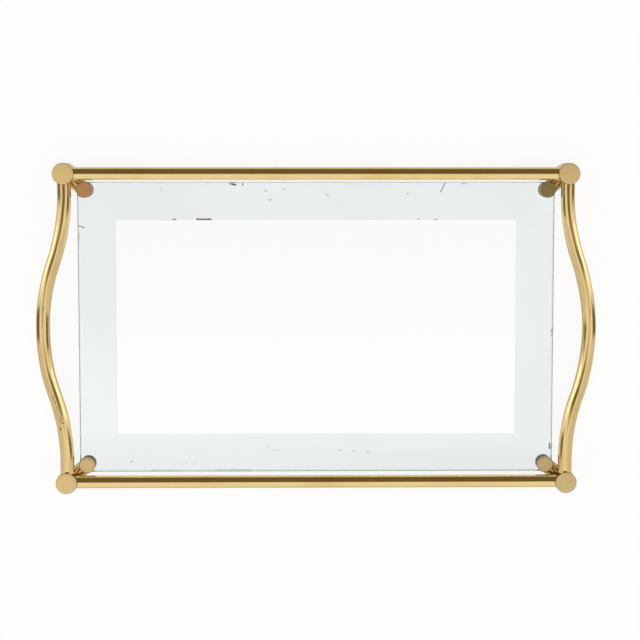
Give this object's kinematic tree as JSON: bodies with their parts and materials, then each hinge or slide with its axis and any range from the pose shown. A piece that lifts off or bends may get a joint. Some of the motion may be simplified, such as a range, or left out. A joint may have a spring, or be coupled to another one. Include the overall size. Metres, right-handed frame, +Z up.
{
  "type": "vanity tray with mirror border",
  "caption": "Rectangular brass gallery tray with swept side handles round a clear glass bed with a silvered mirror border.",
  "frame": {"origin": "middle of the tray's footprint, on the surface that its rubber feet rest on", "axes": "+X along the two straight rails, +Y along the depth towards the back rail, +Z up"},
  "size_m": [0.5258, 0.31, 0.033],
  "materials": {
    "brass_tube": "polished, lightly worn",
    "brass_bar": "brushed satin ends",
    "clear_glass": "clear with polished edges",
    "silvering": "mirror with light foxing at the edges",
    "backing_paint": "flat protective paint",
    "liner": "matte",
    "foot_rubber": "matte"
  },
  "bodies": {
    "root": {"border_paint": "backing_paint", "clip_arm_back_left": "brass_bar", "clip_arm_back_right": "brass_bar", "clip_arm_front_left": "brass_bar", "clip_arm_front_right": "brass_bar", "corner_post_back_left": "brass_bar", "corner_post_back_right": "brass_bar", "corner_post_front_left": "brass_bar", "corner_post_front_right": "brass_bar", "glass_bed": "clear_glass", "glass_clip_back_left": "brass_bar", "glass_clip_back_right": "brass_bar", "glass_clip_front_left": "brass_bar", "glass_clip_front_right": "brass_bar", "handle_left": "brass_tube", "handle_plug_back_left": "brass_bar", "handle_plug_back_right": "brass_bar", "handle_plug_front_left": "brass_bar", "handle_plug_front_right": "brass_bar", "handle_right": "brass_tube", "rail_back": "brass_tube", "rail_front": "brass_tube", "rail_plug_back_left": "brass_bar", "rail_plug_back_right": "brass_bar", "rail_plug_front_left": "brass_bar", "rail_plug_front_right": "brass_bar", "rail_screw_back_left": "brass_bar", "rail_screw_back_right": "brass_bar", "rail_screw_front_left": "brass_bar", "rail_screw_front_right": "brass_bar", "rubber_foot_back_left": "foot_rubber", "rubber_foot_back_right": "foot_rubber", "rubber_foot_front_left": "foot_rubber", "rubber_foot_front_right": "foot_rubber", "silvered_border": "silvering", "slot_liner_back_left": "liner", "slot_liner_back_right": "liner", "slot_liner_front_left": "liner", "slot_liner_front_right": "liner"}
  },
  "joints": []
}
